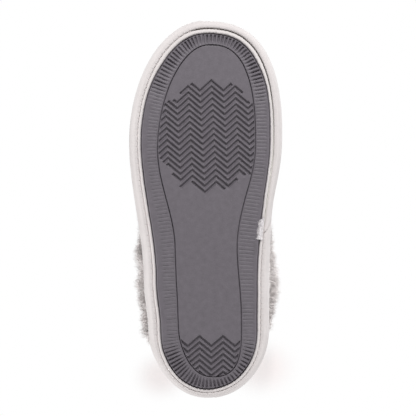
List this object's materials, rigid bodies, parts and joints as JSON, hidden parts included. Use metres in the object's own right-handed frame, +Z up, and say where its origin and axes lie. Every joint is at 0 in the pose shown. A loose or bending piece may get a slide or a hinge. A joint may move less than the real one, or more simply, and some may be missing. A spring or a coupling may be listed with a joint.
{
  "type": "house slipper",
  "caption": "Closed-back padded house slipper with a faux-fur cuff, a soft fabric side band and a moulded tread with zigzag grip patches.",
  "frame": {"origin": "middle of the base, on the ground", "axes": "+Z up; -Y towards the toe; +X towards the inner (medial) side of the right foot"},
  "size_m": [0.1098, 0.2712, 0.093],
  "materials": {
    "tread_rubber": "matt moulded",
    "suede": "short-nap microsuede",
    "plush": "short plush pile",
    "foam": "soft open-cell foam",
    "board": "pressed fibre board",
    "stiffener": "thermoformed non-woven",
    "knit": "knitted backing",
    "fur": "long-pile faux fur",
    "thread": "spun thread"
  },
  "bodies": {
    "root": {"outsole": "tread_rubber", "bottom_cover": "suede", "midsole_foam": "foam", "insole_board": "board", "footbed_foam": "foam", "sock_lining": "plush", "sidewall_band": "suede", "band_end_tuck": "plush", "bottom_seam_thread": "thread", "top_seam_thread": "thread", "vamp": "suede", "vamp_foam": "foam", "vamp_lining": "plush", "quarter_medial": "suede", "quarter_lining_medial": "plush", "quarter_foam_medial": "foam", "quarter_lateral": "suede", "quarter_lining_lateral": "plush", "quarter_foam_lateral": "foam", "heel_counter": "stiffener", "heel_stay": "suede", "cuff_backing": "knit", "cuff_fur": "fur"}
  },
  "joints": []
}
